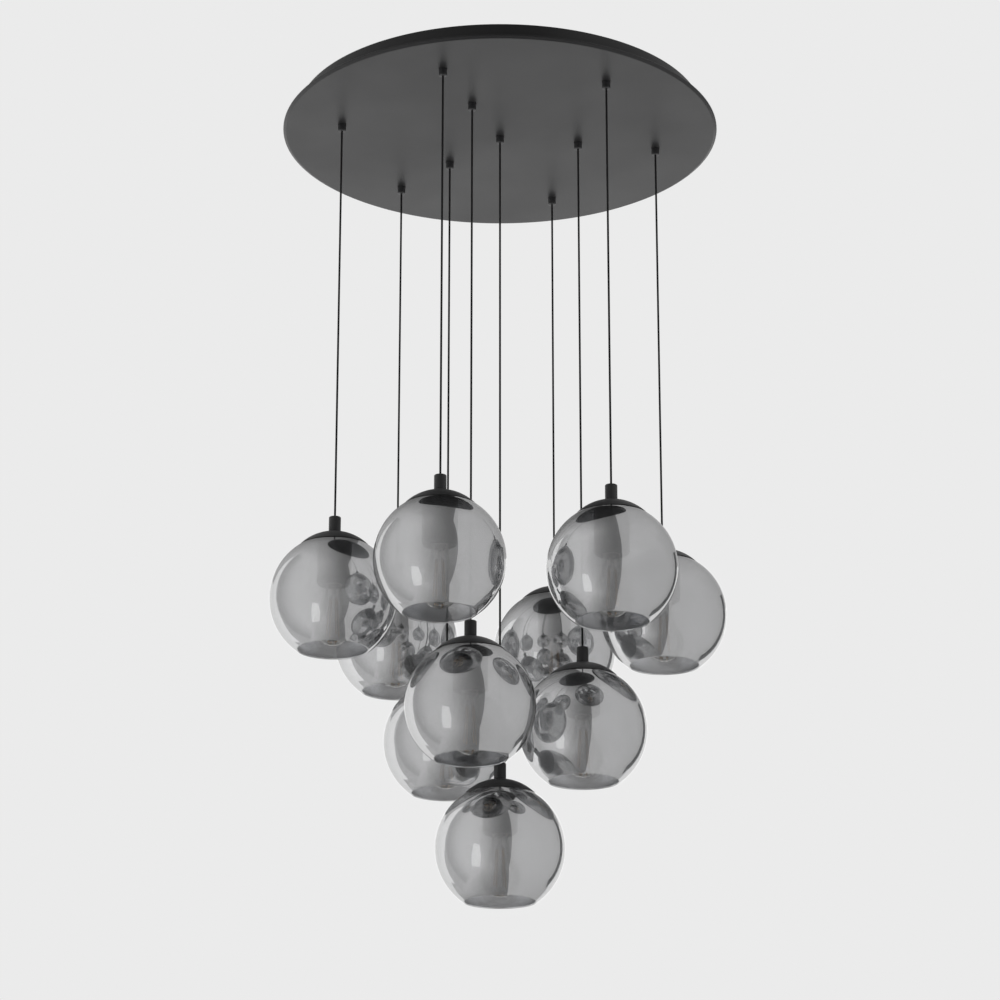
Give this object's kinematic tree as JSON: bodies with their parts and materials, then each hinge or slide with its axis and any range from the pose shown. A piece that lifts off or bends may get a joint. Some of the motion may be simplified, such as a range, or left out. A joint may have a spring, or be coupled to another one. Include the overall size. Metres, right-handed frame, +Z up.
{
  "type": "cluster pendant light",
  "caption": "Cluster pendant light: smoked glass globes with clear bulbs on thin black cords, hung at stepped heights from a round charcoal ceiling canopy.",
  "frame": {"origin": "middle of the ceiling bracket's top face, where the light is screwed to the ceiling", "axes": "+Z up to the ceiling, so the light hangs towards -Z; +X along the bracket's bar"},
  "size_m": [0.6824, 0.68, 1.2485],
  "materials": {
    "charcoal_coat": "fine-textured matte charcoal powder coat",
    "black_coat": "satin black coat",
    "socket_plastic": "satin black cover over a plastic lampholder",
    "smoked_glass": "smoked, half-mirrored blown glass",
    "clear_glass": "clear blown glass",
    "black_cord": "matte black sheath",
    "zinc_steel": "zinc-plated steel",
    "brass": "plain brass",
    "cream_plastic": "cream moulded plastic"
  },
  "bodies": {
    "canopy": {"ceiling_bracket": "zinc_steel", "canopy_drum": "charcoal_coat", "canopy_face": "charcoal_coat", "canopy_screw_right": "black_coat", "canopy_screw_left": "black_coat", "terminal_block": "cream_plastic", "earth_terminal": "brass", "canopy_wiring": "black_cord"},
    "pendant_outer_1": {"cord_outer_1": "black_cord", "top_cap_outer_1": "black_coat", "glass_globe_outer_1": "smoked_glass", "lamp_socket_outer_1": "socket_plastic"},
    "lamp_outer_1": {"bulb_outer_1": "clear_glass"},
    "pendant_outer_2": {"cord_outer_2": "black_cord", "top_cap_outer_2": "black_coat", "glass_globe_outer_2": "smoked_glass", "lamp_socket_outer_2": "socket_plastic"},
    "lamp_outer_2": {"bulb_outer_2": "clear_glass"},
    "pendant_outer_3": {"cord_outer_3": "black_cord", "top_cap_outer_3": "black_coat", "glass_globe_outer_3": "smoked_glass", "lamp_socket_outer_3": "socket_plastic"},
    "lamp_outer_3": {"bulb_outer_3": "clear_glass"},
    "pendant_outer_4": {"cord_outer_4": "black_cord", "top_cap_outer_4": "black_coat", "glass_globe_outer_4": "smoked_glass", "lamp_socket_outer_4": "socket_plastic"},
    "lamp_outer_4": {"bulb_outer_4": "clear_glass"},
    "pendant_outer_5": {"cord_outer_5": "black_cord", "top_cap_outer_5": "black_coat", "glass_globe_outer_5": "smoked_glass", "lamp_socket_outer_5": "socket_plastic"},
    "lamp_outer_5": {"bulb_outer_5": "clear_glass"},
    "pendant_outer_6": {"cord_outer_6": "black_cord", "top_cap_outer_6": "black_coat", "glass_globe_outer_6": "smoked_glass", "lamp_socket_outer_6": "socket_plastic"},
    "lamp_outer_6": {"bulb_outer_6": "clear_glass"},
    "pendant_inner_1": {"cord_inner_1": "black_cord", "top_cap_inner_1": "black_coat", "glass_globe_inner_1": "smoked_glass", "lamp_socket_inner_1": "socket_plastic"},
    "lamp_inner_1": {"bulb_inner_1": "clear_glass"},
    "pendant_inner_2": {"cord_inner_2": "black_cord", "top_cap_inner_2": "black_coat", "glass_globe_inner_2": "smoked_glass", "lamp_socket_inner_2": "socket_plastic"},
    "lamp_inner_2": {"bulb_inner_2": "clear_glass"},
    "pendant_inner_3": {"cord_inner_3": "black_cord", "top_cap_inner_3": "black_coat", "glass_globe_inner_3": "smoked_glass", "lamp_socket_inner_3": "socket_plastic"},
    "lamp_inner_3": {"bulb_inner_3": "clear_glass"},
    "pendant_centre": {"cord_centre": "black_cord", "top_cap_centre": "black_coat", "glass_globe_centre": "smoked_glass", "lamp_socket_centre": "socket_plastic"},
    "lamp_centre": {"bulb_centre": "clear_glass"}
  },
  "joints": [
    {"name": "swing_outer_1", "type": "hinge", "parent": "canopy", "child": "pendant_outer_1", "pos_m": [0.2462, 0.04341, -0.0443], "axis": [0.1736, -0.9848, 0], "range_deg": [-0.8, 10]},
    {"name": "bulb_turn_outer_1", "type": "hinge", "parent": "pendant_outer_1", "child": "lamp_outer_1", "pos_m": [0.2462, 0.04341, -0.804], "axis": [0, 0, -1], "range_deg": [0, 360]},
    {"name": "swing_outer_2", "type": "hinge", "parent": "canopy", "child": "pendant_outer_2", "pos_m": [0.0855, 0.23492, -0.0443], "axis": [0.9397, -0.342, 0], "range_deg": [-3, 10]},
    {"name": "bulb_turn_outer_2", "type": "hinge", "parent": "pendant_outer_2", "child": "lamp_outer_2", "pos_m": [0.0855, 0.23492, -0.804], "axis": [0, 0, -1], "range_deg": [0, 360]},
    {"name": "swing_outer_3", "type": "hinge", "parent": "canopy", "child": "pendant_outer_3", "pos_m": [-0.1607, 0.19151, -0.0443], "axis": [0.766, 0.6428, 0], "range_deg": [-0.8, 10]},
    {"name": "bulb_turn_outer_3", "type": "hinge", "parent": "pendant_outer_3", "child": "lamp_outer_3", "pos_m": [-0.1607, 0.19151, -0.804], "axis": [0, 0, -1], "range_deg": [0, 360]},
    {"name": "swing_outer_4", "type": "hinge", "parent": "canopy", "child": "pendant_outer_4", "pos_m": [-0.2462, -0.04341, -0.0443], "axis": [-0.1736, 0.9848, 0], "range_deg": [-3, 10]},
    {"name": "bulb_turn_outer_4", "type": "hinge", "parent": "pendant_outer_4", "child": "lamp_outer_4", "pos_m": [-0.2462, -0.04341, -0.804], "axis": [0, 0, -1], "range_deg": [0, 360]},
    {"name": "swing_outer_5", "type": "hinge", "parent": "canopy", "child": "pendant_outer_5", "pos_m": [-0.0855, -0.23492, -0.0443], "axis": [-0.9397, 0.342, 0], "range_deg": [-0.8, 10]},
    {"name": "bulb_turn_outer_5", "type": "hinge", "parent": "pendant_outer_5", "child": "lamp_outer_5", "pos_m": [-0.0855, -0.23492, -0.804], "axis": [0, 0, -1], "range_deg": [0, 360]},
    {"name": "swing_outer_6", "type": "hinge", "parent": "canopy", "child": "pendant_outer_6", "pos_m": [0.1607, -0.19151, -0.0443], "axis": [-0.766, -0.6428, 0], "range_deg": [-3, 10]},
    {"name": "bulb_turn_outer_6", "type": "hinge", "parent": "pendant_outer_6", "child": "lamp_outer_6", "pos_m": [0.1607, -0.19151, -0.804], "axis": [0, 0, -1], "range_deg": [0, 360]},
    {"name": "swing_inner_1", "type": "hinge", "parent": "canopy", "child": "pendant_inner_1", "pos_m": [0.1231, 0.02171, -0.0443], "axis": [0.9397, -0.342, 0], "range_deg": [-0.6, 9]},
    {"name": "bulb_turn_inner_1", "type": "hinge", "parent": "pendant_inner_1", "child": "lamp_inner_1", "pos_m": [0.1231, 0.02171, -0.987], "axis": [0, 0, -1], "range_deg": [0, 360]},
    {"name": "swing_inner_2", "type": "hinge", "parent": "canopy", "child": "pendant_inner_2", "pos_m": [-0.08035, 0.09576, -0.0443], "axis": [-0.1736, 0.9848, 0], "range_deg": [-0.6, 9]},
    {"name": "bulb_turn_inner_2", "type": "hinge", "parent": "pendant_inner_2", "child": "lamp_inner_2", "pos_m": [-0.08035, 0.09576, -0.987], "axis": [0, 0, -1], "range_deg": [0, 360]},
    {"name": "swing_inner_3", "type": "hinge", "parent": "canopy", "child": "pendant_inner_3", "pos_m": [-0.04275, -0.11746, -0.0443], "axis": [-0.766, -0.6428, 0], "range_deg": [-0.6, 9]},
    {"name": "bulb_turn_inner_3", "type": "hinge", "parent": "pendant_inner_3", "child": "lamp_inner_3", "pos_m": [-0.04275, -0.11746, -0.987], "axis": [0, 0, -1], "range_deg": [0, 360]},
    {"name": "swing_centre", "type": "hinge", "parent": "canopy", "child": "pendant_centre", "pos_m": [0, 0, -0.0443], "axis": [0.9397, -0.342, 0], "range_deg": [-0.6, 7]},
    {"name": "bulb_turn_centre", "type": "hinge", "parent": "pendant_centre", "child": "lamp_centre", "pos_m": [0, 0, -1.17], "axis": [0, 0, -1], "range_deg": [0, 360]}
  ]
}
